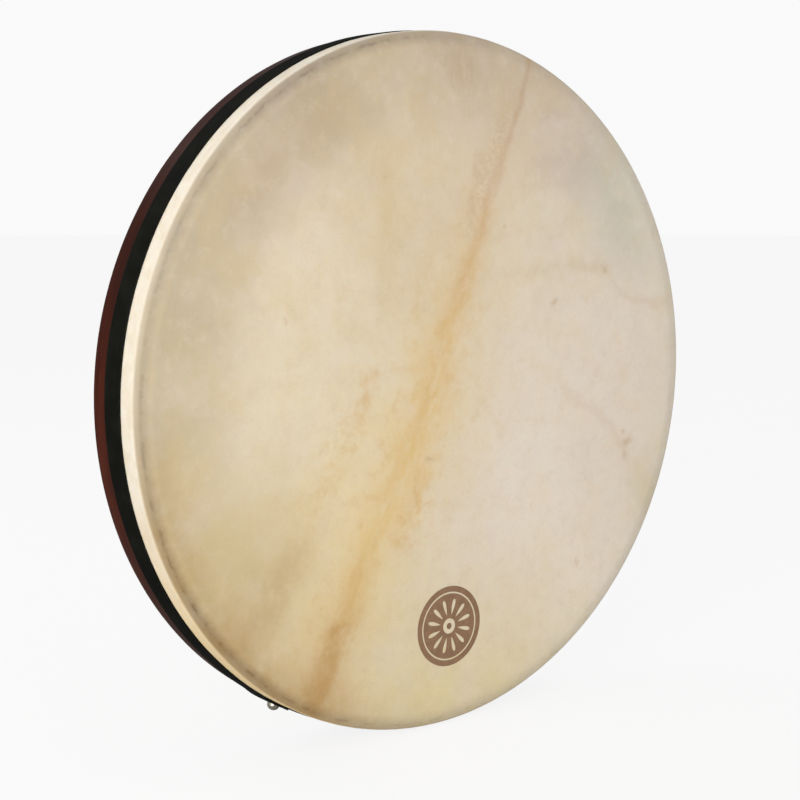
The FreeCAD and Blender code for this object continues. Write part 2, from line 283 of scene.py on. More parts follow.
def lathe(name, profile, segs, move=None, poles=(False, False), closed=True):
    """Turns a profile of (r, a) points about the drum's axis. move(r, a, theta) may
    return a changed (r, a). poles: the first / last point lies on the axis."""
    verts, faces, rows = [], [], []
    for i, (r, a) in enumerate(profile):
        if (i == 0 and poles[0]) or (i == len(profile) - 1 and poles[1]):
            rr, aa = move(r, a, 0.0, i) if move else (r, a)
            rows.append([len(verts)] * segs)
            verts.append((0.0, Y(aa), 0.0))
            continue
        row = []
        for k in range(segs):
            t = TAU * k / segs
            rr, aa = move(r, a, t, i) if move else (r, a)
            row.append(len(verts))
            verts.append((rr * MM * math.cos(t), Y(aa), rr * MM * math.sin(t)))
        rows.append(row)
    n = len(profile)
    for i in range(n if closed else n - 1):
        a, b = rows[i], rows[(i + 1) % n]
        if a[0] == a[-1] and b[0] == b[-1]:
            continue
        for k in range(segs):
            k2 = (k + 1) % segs
            f = [a[k], a[k2], b[k2], b[k]]
            f = [v for j, v in enumerate(f) if v not in f[:j]]
            if len(f) > 2:
                faces.append(f)
    return finish_mesh(name, verts, faces)


def arc(cr, ca, rad, d0, d1, n):
    return [(cr + rad * math.cos(math.radians(d0 + (d1 - d0) * i / n)),
             ca + rad * math.sin(math.radians(d0 + (d1 - d0) * i / n))) for i in range(n + 1)]


def span(p, q, n):
    """Points after p up to q, in n even steps."""
    return [(p[0] + (q[0] - p[0]) * i / n, p[1] + (q[1] - p[1]) * i / n) for i in range(1, n + 1)]


def wob(t, z, seed, lo, hi, amount):
    """Deterministic waviness round the drum: t is the ring angle."""
    v = noise.noise(Vector((math.cos(t) * lo + seed * 7.31, math.sin(t) * lo - seed * 3.17, z * 0.05 + seed)))
    w = noise.noise(Vector((math.cos(t) * hi - seed * 2.11, math.sin(t) * hi + seed * 5.71, z * 0.09 - seed)))
    return amount * (v + 0.5 * w)


def dress(ob, mat, body=None):
    ob.data.materials.clear()
    ob.data.materials.append(mat)
    if body:
        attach(ob, body)
    return ob


# =================================================================== skin ==
CR, CA = R_SHELL - EDGE_R, SHELL_A1 - EDGE_R
out_r, in_r = EDGE_R + 0.05 + SKIN_T, EDGE_R + 0.05


def touch(pr, pa, rad):
    dx, dy = pr - CR, pa - CA
    return math.degrees(math.atan2(dy, dx)) - math.degrees(math.acos(rad / math.hypot(dx, dy)))


t_out = touch(SKIN_FLAT_R, SKIN_A1, out_r)
t_in = touch(SKIN_FLAT_R, SKIN_A1 - SKIN_T, in_r)

flat_radii = [0.0] + [6.0 + 258.0 * (i / 33.0) ** 0.9 for i in range(34)]
outer = [(r, SKIN_A1) for r in flat_radii]
# the hide bends over the ring's rounded edge, so the flat part runs out gradually
outer += [(265.0, SKIN_A1 - 0.012), (266.0, SKIN_A1 - 0.055), (267.0, SKIN_A1 - 0.15), (268.0, SKIN_A1 - 0.29)]
p_touch = arc(CR, CA, out_r, t_out, t_out, 1)[0]
outer += span(outer[-1], p_touch, 6)
outer += arc(CR, CA, out_r, t_out, 0, 10)[1:]
outer += span(outer[-1], (R_SKIN, SKIN_A0), 14)
inner = [(CR + in_r, SKIN_A0)] + span((CR + in_r, SKIN_A0), (CR + in_r, CA), 6)
inner += arc(CR, CA, in_r, 0, t_in, 7)[1:]
inner += span(inner[-1], (SKIN_FLAT_R, SKIN_A1 - SKIN_T), 4)
inner += [(r, SKIN_A1 - SKIN_T) for r in flat_radii[::-1][::2]]
if inner[-1][0] != 0.0:
    inner.append((0.0, SKIN_A1 - SKIN_T))
skin_profile = outer + inner
n_outer = len(outer)


def skin_move(r, a, t, i):
    """Slight waviness of the real hide: the flap is uneven where it was pulled down
    and glued, the rolled edge has small puckers, and the playing area is nearly flat."""
    if i >= n_outer:
        return r, a
    if a < CA:                                     # flap on the outside of the shell
        k = min(1.0, (CA - a) / 6.0)
        lift = 0.16 * (0.5 + wob(t, a, 3.0, 9.0, 31.0, 1.0)) + 0.10 * wob(t, a * 3, 5.0, 60.0, 120.0, 1.0)
        return r + k * max(0.0, lift), a
    if r > SKIN_FLAT_R + 1.0:
        p = math.hypot(r - CR, a - CA)
        k = 0.10 * max(0.0, 0.5 + wob(t, 0.0, 9.0, 40.0, 95.0, 1.0))
        return r + k * (r - CR) / max(p, 1e-6), a + k * max(0.0, a - CA) / max(p, 1e-6) * 0.4
    if r < SKIN_FLAT_R - 1.0:
        x, z = r * math.cos(t), r * math.sin(t)
        h = 0.10 * noise.noise(Vector((x / 60.0, z / 60.0, 1.7))) + 0.05 * noise.noise(Vector((x / 21.0, z / 21.0, 8.2)))
        return r, a + h * min(1.0, (SKIN_FLAT_R - r) / 8.0)
    return r, a


skin = lathe("goat_skin", skin_profile, 384, skin_move, poles=(True, True), closed=False)

g = Graph("skin_front")
P = g.coords()
x, y, z = g.sep(P)
flatP = g.comb(x, 0.0, z)
radius = g.vec("LENGTH", flatP)
warp_big = g.vec("SUBTRACT", g.noise(P, 34.0, 4.0, 0.55, color=True), (0.5, 0.5, 0.5))
warp_small = g.vec("SUBTRACT", g.noise(P, 6.5, 4.0, 0.62, color=True), (0.5, 0.5, 0.5))
Q = g.vec("ADD", P, g.vec("SCALE", warp_big, scale=30.0))
Q = g.vec("ADD", Q, g.vec("SCALE", warp_small, scale=5.0))
qx, qy, qz = g.sep(Q)
cloud = g.noise(P, 95.0, 6.0, 0.58)
mottle = g.noise(P, 20.0, 6.0, 0.62)
fine = g.noise(P, 3.4, 4.0, 0.6)
grit = g.noise(P, 1.1, 2.0, 0.6)


def patch(cx, cz, rx, rz, deg, soft=1.0, warped=None):
    """Soft elliptical area about (cx, cz), its long side turned deg from +X to +Z."""
    px = g.sub(qx, cx)
    pz = g.sub(qz, cz)
    c, s = math.cos(math.radians(deg)), math.sin(math.radians(deg))
    u = g.add(g.mul(px, c / rx), g.mul(pz, s / rx))
    v = g.sub(g.mul(pz, c / rz), g.mul(px, s / rz))
    d2 = g.add(g.mul(u, u), g.mul(v, v))
    return g.math("EXPONENT", g.mul(d2, -soft))


def vein(x0, z0, x1, z1, bow, width):
    mx, mz = (x0 + x1) / 2, (z0 + z1) / 2
    L = math.hypot(x1 - x0, z1 - z0)
    c, s = (x1 - x0) / L, (z1 - z0) / L
    px, pz = g.sub(qx, mx), g.sub(qz, mz)
    u = g.add(g.mul(px, c), g.mul(pz, s))
    v = g.sub(g.mul(pz, c), g.mul(px, s))
    un = g.mul(u, 2.0 / L)
    v = g.sub(v, g.mul(g.sub(1.0, g.mul(un, un)), bow))
    line = g.math("EXPONENT", g.mul(g.mul(v, v), -1.0 / (width * width)))
    return g.mul(line, g.step(g.math("ABSOLUTE", un), 1.15, 0.8))


def stain_and_shade(color, mask, tone, amount=1.0):
    return g.mix(g.mul(mask, amount) if amount != 1.0 else mask, color, tone)


col = g.mix(g.step(cloud, 0.35, 0.66), srgb(225, 212, 188), srgb(229, 216, 194))
# broad tones of the hide, with painted shade at the top and along the upper left and left edge
col = stain_and_shade(col, patch(-140, 92, 84, 66, 20), srgb(233, 219, 193), 0.95)
col = stain_and_shade(col, patch(-120, 0, 96, 60, 0), srgb(234, 221, 191), 0.80)
col = stain_and_shade(col, patch(-118, -82, 70, 44, 20), srgb(240, 226, 196), 0.88)
col = stain_and_shade(col, patch(105, -75, 100, 92, 0), srgb(235, 224, 211), 0.95)
col = stain_and_shade(col, patch(140, -178, 88, 78, 40), srgb(242, 230, 214), 0.86)
col = stain_and_shade(col, patch(195, 5, 72, 190, 0), srgb(231, 219, 205), 0.90)
# painted shade: darker across the top, the upper left and the left edge
col = stain_and_shade(col, patch(0, 268, 235, 62, 0), srgb(199, 180, 156), 0.95)
col = stain_and_shade(col, patch(-122, 212, 72, 44, 24), srgb(192, 173, 142), 0.85)
col = stain_and_shade(col, patch(-186, 156, 62, 36, 48), srgb(195, 174, 147), 0.80)
col = stain_and_shade(col, patch(-232, 70, 40, 88, -10), srgb(194, 178, 148), 0.85)
col = stain_and_shade(col, patch(-248, -20, 34, 90, 0), srgb(203, 186, 150), 0.80)
col = stain_and_shade(col, patch(100, 212, 46, 40, -20), srgb(203, 186, 166), 0.75)
col = stain_and_shade(col, patch(158, 182, 42, 34, 0), srgb(201, 185, 172), 0.80)
col = stain_and_shade(col, patch(198, 142, 40, 56, 30), srgb(205, 201, 183), 0.92)
col = stain_and_shade(col, patch(-30, 150, 62, 66, 0), srgb(220, 199, 160), 0.70)
col = stain_and_shade(col, patch(0, -250, 150, 58, 0), srgb(228, 212, 166), 0.85)
col = stain_and_shade(col, patch(-196, -138, 90, 60, -38), srgb(205, 185, 136), 0.92)
col = stain_and_shade(col, patch(-88, -165, 70, 60, 0), srgb(234, 219, 176), 0.70)
col = stain_and_shade(col, patch(85, -178, 60, 34, 10), srgb(227, 211, 184), 0.55)
# mottling: ochre on the spine's left side, chalky on the right, tan all over
left_side = g.step(x, 70.0, -60.0)
edge_of = g.vec("ADD", P, g.vec("SCALE", warp_small, scale=5.0))
blot = g.step(g.noise(edge_of, 46.0, 5.0, 0.52), 0.42, 0.66)
col = g.mix(g.mul(g.mul(blot, left_side), 0.20), col, srgb(217, 197, 150))
blot2 = g.mul(g.step(g.noise(edge_of, 23.0, 4.0, 0.55), 0.48, 0.68), g.step(g.noise(P, 60.0, 2.0, 0.5), 0.44, 0.60))
col = g.mix(g.mul(g.mul(blot2, g.step(x, 60.0, -10.0)), 0.16), col, srgb(219, 191, 142))
chalk = g.step(g.noise(g.vec("ADD", edge_of, (300.0, 0.0, 0.0)), 46.0, 4.0, 0.54), 0.46, 0.66)
col = g.mix(g.mul(chalk, g.lerp(left_side, 0.24, 0.18)), col, srgb(234, 223, 205))
tan = g.step(g.noise(g.vec("ADD", edge_of, (0.0, 0.0, 420.0)), 25.0, 4.0, 0.58), 0.50, 0.72)
col = g.mix(g.mul(tan, 0.13), col, srgb(204, 184, 158))
col = g.mix(g.mul(g.step(mottle, 0.48, 0.74), 0.11), col, srgb(209, 188, 152))
mid = g.noise(edge_of, 9.0, 5.0, 0.66)
col = g.mix(g.mul(g.step(mid, 0.50, 0.72), 0.16), col, srgb(203, 180, 143))
col = g.mix(g.mul(g.step(mid, 0.50, 0.30), 0.16), col, srgb(238, 228, 211))
hue = g.noise(g.vec("ADD", edge_of, (0.0, 170.0, 90.0)), 32.0, 4.0, 0.55)
col = g.mix(g.mul(g.step(hue, 0.50, 0.66), 0.15), col, srgb(222, 201, 152))
col = g.mix(g.mul(g.step(hue, 0.50, 0.34), 0.17), col, srgb(224, 209, 199))
col = g.mix(g.mul(g.step(fine, 0.52, 0.80), 0.15), col, srgb(203, 180, 146))

# the spine: one long stain, narrow and pinkish at the top, wide and golden in the
# middle, brown toward the bottom
spine_pts = [(265, 93), (257, 90), (220, 77), (185, 62), (155, 49), (117, 36), (95, 26), (65, 13), (35, 0),
             (7, -11), (-20, -22), (-55, -39), (-95, -60), (-125, -78), (-155, -93), (-185, -106), (-212, -117), (-240, -130), (-270, -142)]
spine_x = g.curve(z, spine_pts, -280, 280, -160, 100)
half_w = g.curve(z, [(270, 3.0), (220, 3.4), (185, 5), (155, 7.5), (117, 7), (95, 10), (65, 14), (35, 16), (7, 18),
                     (-20, 25), (-55, 28), (-95, 22), (-125, 17), (-155, 15), (-185, 15), (-212, 13), (-240, 12), (-270, 14)], -280, 280, 0, 40)
strength = g.curve(z, [(270, .50), (235, .55), (220, .62), (205, .45), (185, .55), (155, .50), (117, .78), (95, .80), (65, .80), (35, .80),
                       (7, .84), (-20, .82), (-55, .84), (-95, .88), (-125, .90), (-155, .95), (-185, 1.0), (-212, .98), (-240, 1.0), (-270, .9)], -280, 280, 0, 1)
blot_wide = g.noise(P, 21.0, 5.0, 0.6)
wide_warp = g.mul(g.sub(g.noise(P, 24.0, 5.0, 0.62), 0.5), 26.0)
edge_warp = g.mul(g.sub(g.noise(P, 5.0, 5.0, 0.68), 0.5), 16.0)
stripe_warp = g.add(wide_warp, edge_warp)
off = g.mul(g.add(g.sub(x, spine_x), g.mul(stripe_warp, g.remap(half_w, 3.0, 22.0, 0.20, 1.0))), 0.91)
rel = g.div(off, half_w)
core = g.math("EXPONENT", g.mul(g.mul(rel, rel), -1.0))
# the stain has soaked in unevenly: it is patchy along its length and grainy at its edge
tilted = g.comb(g.add(g.mul(x, 0.9), g.mul(z, -0.38)), y, g.add(g.mul(z, 0.36), g.mul(x, 0.15)))
patchy = g.remap(g.noise(tilted, 8.0, 5.0, 0.66), 0.34, 0.64, 0.45, 1.25)
core = g.mul(g.mul(core, patchy), g.remap(fine, 0.25, 0.75, 0.75, 1.2))
core = g.sat(g.mul(core, strength))
inner_rel = g.div(off, g.math("MULTIPLY_ADD", half_w, 0.42, 0.8))
thread = g.mul(g.math("EXPONENT", g.mul(g.mul(inner_rel, inner_rel), -1.0)), g.mul(strength, g.remap(g.noise(tilted, 15.0, 4.0, 0.6), 0.38, 0.62, 0.1, 1.0)))
halo_rel = g.div(g.add(off, 7.0), g.math("MULTIPLY_ADD", half_w, 2.3, 12.0))
halo = g.mul(g.math("EXPONENT", g.mul(g.mul(halo_rel, halo_rel), -1.0)), strength)
tone = g.ramp(g.remap(z, -270, 270, 0, 1), [
    (0.00, srgb(192, 156, 104)), (0.10, srgb(196, 160, 108)), (0.157, srgb(208, 174, 117)), (0.22, srgb(221, 190, 131)),
    (0.30, srgb(229, 201, 141)), (0.46, srgb(227, 197, 136)), (0.58, srgb(224, 192, 135)), (0.68, srgb(218, 186, 137)),
    (0.82, srgb(203, 171, 139)), (1.0, srgb(180, 152, 132))])
deep = g.mix(0.5, tone, srgb(207, 164, 97))
col = g.mix(g.mul(halo, g.remap(blot_wide, 0.35, 0.65, 0.30, 0.66)), col, g.mix(0.45, tone, srgb(236, 217, 168)))
col = g.mix(g.mul(core, 0.90), col, tone)
col = g.mix(g.mul(thread, 0.46), col, deep)
# warm blots inside and beside the stripe
spots = g.step(g.noise(edge_of, 11.0, 4.0, 0.58), 0.48, 0.70)
col = g.mix(g.mul(g.mul(spots, halo), 0.40), col, srgb(216, 181, 122))
# beside its upper part, a second faint run of pinkish flecks
side = g.div(g.sub(off, -11.0), 8.0)
side = g.mul(g.math("EXPONENT", g.mul(g.mul(side, side), -1.0)), g.mul(g.step(z, 105.0, 140.0), g.step(z, 250.0, 215.0)))
col = g.mix(g.mul(g.mul(side, g.step(fine, 0.40, 0.60)), 0.40), col, srgb(205, 176, 140))

# smaller runs of colour beside the spine, all leaning the same way
for x0, z0, x1, z1, bow, width, amt, tint in (
        (-62, 178, -56, 58, 4.0, 11.0, 0.34, srgb(214, 191, 145)), (-70, 18, -90, -22, 2.0, 7.5, 0.50, srgb(216, 184, 130)),
        (-84, -34, -138, -112, -4.0, 10.0, 0.26, srgb(220, 195, 143)), (-16, -66, -44, -126, -5.0, 7.5, 0.52, srgb(219, 186, 126)),
        (40, 190, 27, 132, -3.0, 4.5, 0.42, srgb(207, 178, 142)), (-120, -44, -168, -104, 3.0, 12.0, 0.16, srgb(216, 196, 148)),
        (-10, 118, -28, 52, -2.0, 8.0, 0.32, srgb(217, 191, 142)), (-104, -176, -134, -236, 3.0, 9.0, 0.50, srgb(190, 148, 94)),
        (20, 25, 6, -22, 3.0, 6.0, 0.28, srgb(219, 190, 140))):
    run = g.mul(vein(x0, z0, x1, z1, bow, width), g.remap(g.noise(edge_of, 11.0, 4.0, 0.6), 0.34, 0.62, 0.25, 1.15))
    col = g.mix(g.mul(run, amt), col, tint)
col = stain_and_shade(col, patch(-196, -98, 52, 30, 28), srgb(207, 189, 144), 0.40)

# smaller stains
patchy2 = g.remap(g.noise(edge_of, 15.0, 4.0, 0.58), 0.34, 0.64, 0.40, 1.05)
d2 = g.mul(patch(-158, -134, 48, 19, 52, 1.0), patchy2)
col = g.mix(g.mul(d2, 0.62), col, srgb(196, 168, 118))
d3 = g.mul(patch(-196, -172, 46, 22, 40, 1.0), patchy2)
col = g.mix(g.mul(d3, 0.55), col, srgb(190, 165, 122))
d4 = g.mul(patch(-108, -45, 62, 15, 60, 1.0), g.step(g.noise(P, 5.5, 5.0, 0.7), 0.46, 0.66))
col = g.mix(g.mul(d4, 0.42), col, srgb(224, 193, 138))
d5 = g.mul(patch(-32, -98, 22, 30, 0, 1.0), g.step(g.noise(P, 7.0, 4.0, 0.7), 0.50, 0.66))
col = g.mix(g.mul(d5, 0.6), col, srgb(221, 185, 128))
brush = g.noise(g.vec("MULTIPLY", P, (1.0, 1.0, 0.16)), 3.6, 3.0, 0.6)
d6 = g.mul(patch(18, 250, 15, 22, 0, 1.0), g.remap(brush, 0.35, 0.65, 0.2, 1.2))
col = g.mix(g.mul(d6, 0.55), col, srgb(190, 164, 132))
d7 = g.mul(patch(120, 90, 62, 7, 2, 1.0), g.remap(mottle, 0.35, 0.65, 0.1, 1.2))
col = g.mix(g.mul(d7, 0.38), col, srgb(205, 182, 146))
for cx, cz, rr, amt in ((180, 88, 6.0, 0.5), (122, 65, 3.5, 0.45), (212, -62, 5.5, 0.55), (206, -52, 3.0, 0.4), (214, -74, 4.0, 0.35),
                        (-14, -58, 4.0, 0.45), (-152, 62, 2.2, 0.3), (62, 128, 2.6, 0.3), (-60, 168, 2.4, 0.3), (150, -168, 2.8, 0.3)):
    col = g.mix(g.mul(patch(cx, cz, rr, rr * 0.8, 30, 1.0), amt), col, srgb(196, 162, 118))
d8 = patch(238, -112, 22, 34, 30, 1.0)
col = g.mix(g.mul(d8, 0.5), col, srgb(211, 196, 158))
# two faint vein-like lines on the right
col = g.mix(g.mul(vein(184, 80, 266, 62, -13.0, 3.6), 0.22), col, srgb(203, 180, 148))
col = g.mix(g.mul(vein(132, -14, 222, -86, 8.0, 4.6), 0.26), col, srgb(213, 189, 160))
# net of faint veins in the hide, seen only here and there
net = g.voronoi(g.vec("ADD", P, g.vec("SCALE", warp_big, scale=26.0)), 46.0, "DISTANCE_TO_EDGE")
net = g.mul(g.step(net, 0.030, 0.0), g.step(g.noise(P, 70.0, 2.0, 0.5), 0.54, 0.70))
col = g.mix(g.mul(net, 0.09), col, srgb(196, 170, 138))
# hair follicles: tiny dark points in rows
foll = g.voronoi(g.vec("MULTIPLY", P, (1.0, 1.0, 0.8)), 1.7, "F1")
foll = g.mul(g.step(foll, 0.26, 0.10), g.step(g.noise(P, 30.0, 3.0, 0.6), 0.40, 0.62))
col = g.mix(g.mul(foll, 0.22), col, srgb(168, 134, 94))
col = g.mix(g.mul(g.sub(grit, 0.5), 0.20), col, srgb(160, 132, 96))

# edge: the bend over the shell is darkened, partly soiled and partly painted shade of the sloping hide, most at the
# upper and the lower left
ang = g.math("MULTIPLY", g.math("ARCTAN2", g.mul(z, -1.0), g.mul(x, -1.0)), 180.0 / math.pi)   # ring angle less 180
edge_dirt_and_shade = g.curve(ang, [(-180, .05), (-135, .05), (-110, .13), (-90, .28), (-68, .42), (-45, .30), (-23, .24), (0, .28), (22, .42),
                      (45, .48), (67, .36), (90, .27), (135, .11), (180, .05)], -180, 180, 0, 1)
edge_noise = g.noise(P, 9.0, 5.0, 0.62)
rr = g.add(radius, g.mul(g.sub(edge_noise, 0.5), 5.0))
facing = g.step(x, 60.0, -200.0)
shade = g.mul(edge_dirt_and_shade, g.add(g.mul(g.step(rr, 266.5, 276.0), 0.95), 0.0))
# painted shade on the left of the head inside the edge, where the lamp brightens the sloping hide
shade = g.add(shade, g.mul(g.mul(g.step(radius, 250.0, 268.0), 0.10), facing))
rim_line = g.div(g.sub(rr, 275.3), 1.3)
rim_line = g.math("EXPONENT", g.mul(g.mul(rim_line, rim_line), -1.0))
rim_line = g.mul(rim_line, g.step(g.noise(P, 14.0, 4.0, 0.65), 0.44, 0.62))
shade = g.add(shade, g.mul(g.mul(rim_line, edge_dirt_and_shade), 0.55))
shade = g.mul(g.sat(shade), g.step(y, -24.5, -27.5))
warm = g.step(g.math("ABSOLUTE", g.sub(ang, 40.0)), 55.0, 15.0)
low_left = g.mul(g.mul(g.step(radius, 232.0, 272.0), warm), g.remap(g.noise(P, 22.0, 5.0, 0.64), 0.34, 0.66, 0.3, 1.15))
col = g.mix(g.mul(low_left, 0.56), col, srgb(194, 159, 101))
# the edge darkening, grey and brown at the lower left: partly soiling, partly painted shade
col = g.mix(shade, col, g.mix(warm, srgb(120, 108, 96), srgb(112, 84, 50)))
# the flap: paler, partly cleaner hide and partly painted light, warmer toward the bottom
flap = g.step(y, -28.6, -25.5)
low = g.step(g.div(z, 280.0), -0.10, -0.86)
flap_tone = g.mix(g.step(g.noise(P, 13.0, 5.0, 0.62), 0.38, 0.68), srgb(238, 227, 209), srgb(231, 217, 193))
flap_tone = g.mix(g.mul(low, 0.85), flap_tone, srgb(243, 206, 136))
col = g.mix(flap, col, flap_tone)

height = g.add(g.mul(g.noise(P, 2.2, 5.0, 0.62), 0.6), g.mul(g.noise(P, 0.55, 2.0, 0.5), 0.18))
height = g.sub(height, g.mul(foll, 0.22))
height = g.add(height, g.mul(mottle, 1.1))
wr = g.noise(g.vec("MULTIPLY", Q, (0.28, 1.0, 1.0)), 7.0, 3.0, 0.5)
height = g.add(height, g.mul(wr, 0.7))
nrm = g.bump(height, 0.42, 0.00020)
rough = g.add(0.50, g.mul(g.sub(g.noise(P, 12.0, 4.0, 0.6), 0.5), 0.22))
rough = g.add(rough, g.mul(core, 0.06))
front = g.principled(Base_Color=col, Roughness=rough, Normal=nrm, Specular_IOR_Level=0.32)
g.put(g.bsdf.inputs["Sheen Weight"], 0.12)
g.put(g.bsdf.inputs["Sheen Roughness"], 0.45)
g.put(g.bsdf.inputs["Subsurface Weight"], 0.22)
g.put(g.bsdf.inputs["Subsurface Radius"], (0.0014, 0.0009, 0.0005))
g.put(g.bsdf.inputs["Subsurface Scale"], 1.0)
skin_mat = g.finish(front)

dress(skin, skin_mat)
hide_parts("drum_head")

# ================================================================== shell ==
edge_in, rear_r = 1.2, 1.5
prof = arc(R_SHELL - rear_r, rear_r, rear_r, -90, 0, 5)
prof += span(prof[-1], (R_SHELL, SHELL_A1 - EDGE_R), 12)
prof += arc(R_SHELL - EDGE_R, SHELL_A1 - EDGE_R, EDGE_R, 0, 90, 7)[1:]
prof += arc(R_IN + edge_in, SHELL_A1 - edge_in, edge_in, 90, 180, 3)
prof += span(prof[-1], (R_IN, rear_r), 12)
prof += arc(R_IN + rear_r, rear_r, rear_r, 180, 270, 5)[1:]
prof += span(prof[-1], (R_SHELL - rear_r, 0.0), 2)[:-1]


def shell_move(r, a, t, i):
    # hand-sanded: the rear rim's edges wander by a few hundredths
    if a < 2.0:
        return r + wob(t, a, 11.0, 14.0, 37.0, 0.05), a
    return r, a


wood_shell = lathe("wood_shell", prof, 512, shell_move)

g = Graph("stained_wood")
P = g.coords()
x, y, z = g.sep(P)
r = g.vec("LENGTH", g.comb(x, 0.0, z))
# grain runs round the hoop: slow along x and z, quick across the width and depth
S = g.vec("MULTIPLY", P, (0.035, 1.0, 0.035))
long_w = g.mul(r, 1.0)
warp = g.mul(g.sub(g.noise(g.vec("SCALE", P, scale=1.0), 60.0, 3.0, 0.5), 0.5), 9.0)
S2 = g.comb(g.mul(x, 0.035), g.add(y, warp), g.mul(z, 0.035))
bands = g.noise(S2, 4.2, 5.0, 0.62, w=g.mul(long_w, 0.24))
fibre = g.noise(g.comb(g.mul(x, 0.12), g.mul(y, 3.2), g.mul(z, 0.12)), 1.4, 3.0, 0.62, w=g.mul(long_w, 2.0))
pores = g.noise(g.comb(g.mul(x, 0.22), g.mul(y, 4.5), g.mul(z, 0.22)), 1.1, 2.0, 0.5, w=g.mul(long_w, 3.1))
pore = g.step(pores, 0.60, 0.72)
fig = g.noise(g.comb(g.mul(x, 0.5), g.mul(y, 0.7), g.mul(z, 0.5)), 9.0, 2.0, 0.5)
wood = g.ramp(bands, [(0.28, srgb(49, 18, 11)), (0.46, srgb(76, 31, 18)), (0.58, srgb(90, 38, 22)), (0.74, srgb(61, 24, 14))])
wood = g.mix(g.mul(g.step(fibre, 0.42, 0.72), 0.45), wood, srgb(46, 19, 12))
wood = g.mix(g.mul(pore, 0.55), wood, srgb(26, 11, 8))
wood = g.mix(g.mul(g.sub(fig, 0.40), 0.55), wood, srgb(110, 49, 28))
# painted shade: the wood is darker high and low on the left of the hoop
low_wood_shade = g.step(g.add(g.mul(x, -0.45), g.mul(z, -0.89)), 90.0, 250.0)
wood = g.mix(g.mul(low_wood_shade, 0.58), wood, srgb(46, 19, 11))
high_wood_shade = g.step(g.add(g.mul(x, -0.64), g.mul(z, 0.77)), 120.0, 262.0)
wood = g.mix(g.mul(high_wood_shade, 0.72), wood, srgb(38, 12, 6))
# edges handled and worn a little paler
worn = g.mul(g.step(y, 30.2, 31.6), g.step(g.noise(P, 16.0, 4.0, 0.6), 0.44, 0.66))
wood = g.mix(g.mul(worn, 0.35), wood, srgb(120, 64, 38))
# slanted glue line where the hoop's ends meet
ang = g.math("ARCTAN2", z, x)
along = g.sub(g.mul(g.sub(ang, math.radians(63.0)), 275.6), g.mul(y, 1.7))
scarf = g.step(g.math("ABSOLUTE", along), 0.55, 0.12)
wood = g.mix(g.mul(scarf, 0.75), wood, srgb(30, 13, 9))
hgt = g.add(g.mul(fibre, 0.5), g.add(g.mul(pore, -0.9), g.mul(bands, 0.35)))
nrm = g.bump(hgt, 0.35, 0.00012)
rgh = g.add(0.33, g.mul(g.sub(g.noise(P, 9.0, 4.0, 0.6), 0.5), 0.18))
rgh = g.add(rgh, g.mul(pore, 0.15))
sh = g.principled(Base_Color=wood, Roughness=rgh, Normal=nrm, Specular_IOR_Level=0.05)
g.put(g.bsdf.inputs["Coat Weight"], 0.012)
g.put(g.bsdf.inputs["Coat Roughness"], 0.22)
wood_mat = g.finish(sh)
dress(wood_shell, wood_mat, "shell_body")
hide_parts("shell")

# ============================================================= trim band ==
# One strip wound once round the drum; its end laps over its start.
T0, T1 = math.radians(236.3), math.radians(240.3 + 360.0)
BW = BAND_A1 - BAND_A0


def band_section(lift, t, start=False):
    """Closed section (r, a) of the strip at ring angle t, lifted outward by lift."""
    e0 = BAND_A0 + 0.12 * wob(t, 0.0, 21.0, 12.0, 44.0, 1.0)
    e1 = BAND_A1 + 0.14 * wob(t, 9.0, 23.0, 11.0, 40.0, 1.0)
    ro = R_BAND + lift
    wav = 0.07 * wob(t, 3.0, 27.0, 16.0, 52.0, 1.0)
    pts = [(ro - 0.55, e0), (ro - 0.22, e0 + 0.07), (ro - 0.05, e0 + 0.30), (ro + 0.02, e0 + 0.8)]
    for k in range(1, 9):
        u = k / 9.0
        pts.append((ro + 0.05 + wav * math.sin(math.pi * u), e0 + (e1 - e0) * u))
    pts += [(ro + 0.02, e1 - 0.8), (ro - 0.05, e1 - 0.30), (ro - 0.22, e1 - 0.07), (ro - 0.55, e1)]
    if lift > 0.5:
        pts += [(ro - 0.96, e1), (ro - 0.96, e0)]
    else:
        low = R_SHELL + 0.05 + lift
        top = R_SKIN + 0.31 + lift
        pts += [(top, e1), (top, SKIN_A0 - 0.15), (low, SKIN_A0 - 1.6), (low, e0)]
    return pts


sections, count = [], 760
for i in range(count + 1):
    t = T0 + (T1 - T0) * i / count
    d = math.degrees(t - T0) - 360.0          # degrees past the start of the strip
    # the outer turn climbs onto the start of the strip just before it
    k = max(0.0, min(1.0, (d + 3.0) / 2.6))
    lift = 1.03 * k * k * (3 - 2 * k)
    sections.append((t, lift))
verts, faces, rows = [], [], []
m = len(band_section(0.0, 0.0))
for t, lift in sections:
    sec = band_section(lift if lift <= 0.5 else min(lift, 1.03), t)
    if len(sec) < m:                             # same number of points everywhere
        a0, a1 = sec[-1], sec[-2]
        sec = sec[:-2] + [a1, (a1[0], SKIN_A0 - 0.15), (a0[0], SKIN_A0 - 1.6), a0]
    rows.append([len(verts) + j for j in range(m)])
    verts += [(p[0] * MM * math.cos(t), Y(p[1]), p[0] * MM * math.sin(t)) for p in sec]
for a, b in zip(rows, rows[1:]):
    for j in range(m):
        j2 = (j + 1) % m
        faces.append([a[j], a[j2], b[j2], b[j]])
faces.append(rows[0][::-1])
faces.append(rows[-1][:])
band = finish_mesh("trim_tape", verts, faces)

